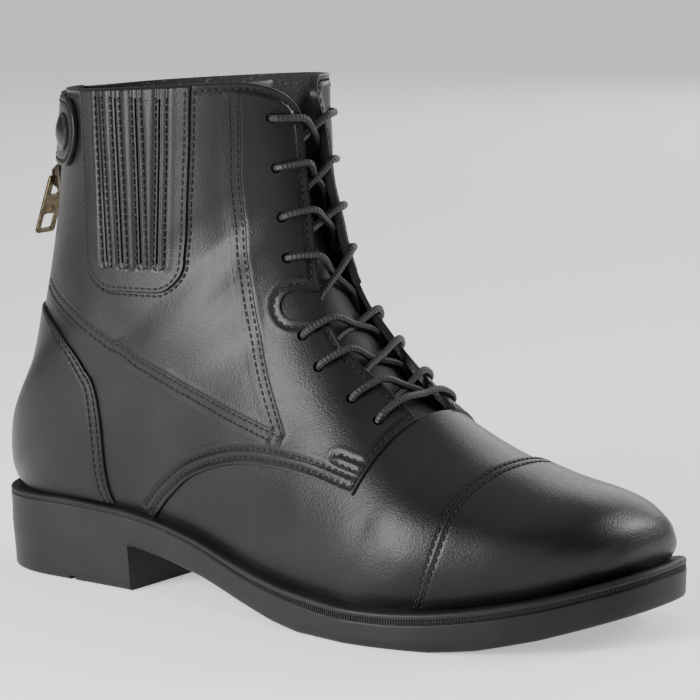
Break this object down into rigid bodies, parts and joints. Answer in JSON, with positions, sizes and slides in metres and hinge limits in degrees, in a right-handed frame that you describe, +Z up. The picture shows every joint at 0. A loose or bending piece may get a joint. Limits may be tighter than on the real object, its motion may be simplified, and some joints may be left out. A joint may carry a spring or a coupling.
{
  "type": "lace-up ankle boot",
  "caption": "Right leather ankle boot with a toe cap, a laced throat, slit side panels, a zip with a snap tab up the back, and a low block heel.",
  "frame": {"origin": "on the floor under the middle of the heel", "axes": "+X forward to the toe, +Y to the medial side, +Z up"},
  "size_m": [0.2866, 0.1034, 0.1937],
  "materials": {
    "sole_rubber": "matt moulded black rubber",
    "welt_rubber": "matt black rubber",
    "insole_leather": "matt dark lining leather",
    "upper_leather": "satin black, fine grain",
    "tongue_leather": "satin black",
    "cap_leather": "satin black, fine grain",
    "counter_leather": "satin black",
    "strip_leather": "satin black",
    "gore_leather": "satin black",
    "tape_cloth": "woven black tape with metal teeth",
    "slider_metal": "dark antique finish",
    "pull_metal": "dark antique finish, worn bright at the edges",
    "strap_leather": "satin black",
    "snap_metal": "dark satin metal",
    "lace_cord": "round waxed black cord"
  },
  "bodies": {
    "boot": {"outsole": "sole_rubber", "welt": "welt_rubber", "insole": "insole_leather", "upper": "upper_leather", "tongue": "tongue_leather", "toe_cap": "cap_leather", "heel_counter": "counter_leather", "heel_strip": "strip_leather", "gore_panel_lateral": "gore_leather", "gore_panel_medial": "gore_leather", "zip_tape": "tape_cloth", "zip_slider": "slider_metal", "snap_strap": "strap_leather", "snap_button": "snap_metal", "laces": "lace_cord"},
    "pull": {"zip_pull": "pull_metal"}
  },
  "joints": [
    {"name": "pull_swing", "type": "hinge", "parent": "boot", "child": "pull", "pos_m": [-0.0231, 0, 0.152], "axis": [0, 1, 0], "range_deg": [-15, 140]}
  ]
}
